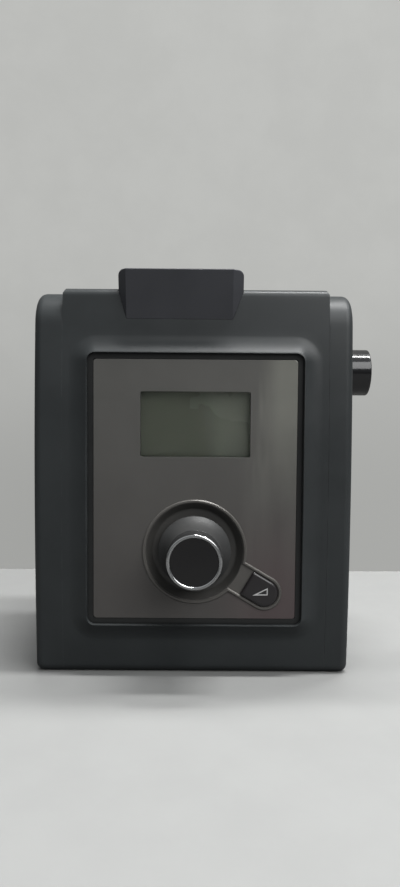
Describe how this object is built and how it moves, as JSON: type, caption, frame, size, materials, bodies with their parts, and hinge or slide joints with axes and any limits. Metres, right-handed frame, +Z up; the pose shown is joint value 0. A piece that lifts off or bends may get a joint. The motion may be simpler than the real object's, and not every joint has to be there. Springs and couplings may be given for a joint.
{
  "type": "cpap machine",
  "caption": "Bedside breathing-therapy blower with a control panel, press-and-turn dial, ramp button, air outlet port and slide-in card module.",
  "frame": {"origin": "middle of the flat lower end that it stands on in the picture, midway between the two side covers' joints", "axes": "+Z up along the face, -Y out of the control face, +X to the viewer's right, where the air outlet is"},
  "size_m": [0.153, 0.1225, 0.1764],
  "materials": {
    "shell": "fine matte moulded charcoal plastic",
    "base": "matte moulded charcoal plastic",
    "bezel": "dark satin plastic",
    "panel": "satin warm silver coating",
    "window": "clear polished plastic window",
    "lcd": "grey green display glass",
    "white": "white plastic",
    "black": "black plastic",
    "gloss_black": "glossy black plastic",
    "dish": "satin silver coating",
    "wheel": "satin grey plastic",
    "chrome": "polished chrome",
    "steel": "turned steel",
    "pcb": "green solder mask",
    "part_dark": "dark component body",
    "can": "sleeved aluminium can",
    "housing": "natural glass-filled plastic",
    "rubber": "black silicone rubber",
    "copper": "enamelled copper winding",
    "brass": "plated brass",
    "foam": "open-cell grey foam",
    "felt": "white filter felt",
    "module": "matte slate plastic",
    "card": "blue plastic",
    "mark": "white printed mark",
    "red": "red insulation"
  },
  "bodies": {
    "chassis": {"front_shell": "shell", "base_shell": "base", "left_side_cover": "shell", "panel_bezel": "bezel", "control_panel": "panel", "display_window": "window", "lcd_glass": "lcd", "lcd_backlight": "white", "lcd_frame": "part_dark", "user_board": "pcb", "dial_dish": "dish", "encoder_body": "part_dark", "ramp_switch": "part_dark", "sounder": "part_dark", "main_board": "pcb", "board_capacitors": "can", "motor_driver": "part_dark", "ribbon_cable": "white", "device_connector": "black", "outlet_port": "gloss_black", "outlet_boot": "rubber", "flow_sensor": "pcb", "blower_front_housing": "housing", "blower_back_housing": "housing", "motor_case": "steel", "motor_coils": "copper", "motor_bearings": "steel", "blower_mounts": "rubber", "silencer_foam": "foam", "foam_filter": "foam", "fine_filter": "felt", "filter_grille": "base", "power_inlet": "black", "inlet_pin": "brass", "power_lead": "rubber", "motor_lead": "red", "card_bay": "base", "card_connector": "white", "rubber_feet": "rubber", "case_screws": "steel", "board_screws": "steel", "blower_screws": "steel"},
    "encoder_slider": {"encoder_plunger": "white"},
    "wheel": {"encoder_shaft": "steel", "control_wheel": "wheel", "wheel_ring": "chrome", "wheel_cap": "black"},
    "ramp_key": {"ramp_button": "black", "ramp_mark": "mark", "ramp_plunger": "white"},
    "blower_rotor": {"impeller": "white", "motor_shaft": "steel", "motor_rotor": "steel"},
    "filter_cap": {"filter_door": "base"},
    "module": {"card_module": "module"},
    "card": {"sd_card": "card"},
    "side_cover": {"right_side_cover": "shell"},
    "cover_release": {"release_tab": "black"}
  },
  "joints": [
    {"name": "wheel_press", "type": "slide", "parent": "chassis", "child": "encoder_slider", "axis": [0, 1, 0], "range_m": [0, 0.0008], "stiffness_N_per_m": 2500},
    {"name": "wheel_spin", "type": "hinge", "parent": "encoder_slider", "child": "wheel", "pos_m": [0, -0.04, 0.055], "axis": [0, 1, 0], "continuous": true},
    {"name": "ramp_press", "type": "slide", "parent": "chassis", "child": "ramp_key", "axis": [0, 1, 0], "range_m": [0, 0.0006], "stiffness_N_per_m": 2500},
    {"name": "impeller_spin", "type": "hinge", "parent": "chassis", "child": "blower_rotor", "pos_m": [-0.008, 0, 0.11395], "axis": [0, 1, 0], "continuous": true},
    {"name": "filter_door_pull", "type": "slide", "parent": "chassis", "child": "filter_cap", "axis": [0, 0, 1], "range_m": [0, 0.02]},
    {"name": "card_module_pull", "type": "slide", "parent": "chassis", "child": "module", "axis": [0, 0, 1], "range_m": [0, 0.045]},
    {"name": "card_pull", "type": "slide", "parent": "module", "child": "card", "axis": [0, 0, 1], "range_m": [0, 0.034]},
    {"name": "side_cover_pull", "type": "slide", "parent": "chassis", "child": "side_cover", "axis": [1, 0, 0], "range_m": [0, 0.03]},
    {"name": "release_press", "type": "slide", "parent": "chassis", "child": "cover_release", "axis": [0, -0.9756, 0.2194], "range_m": [0, 0.0015], "stiffness_N_per_m": 1500}
  ]
}
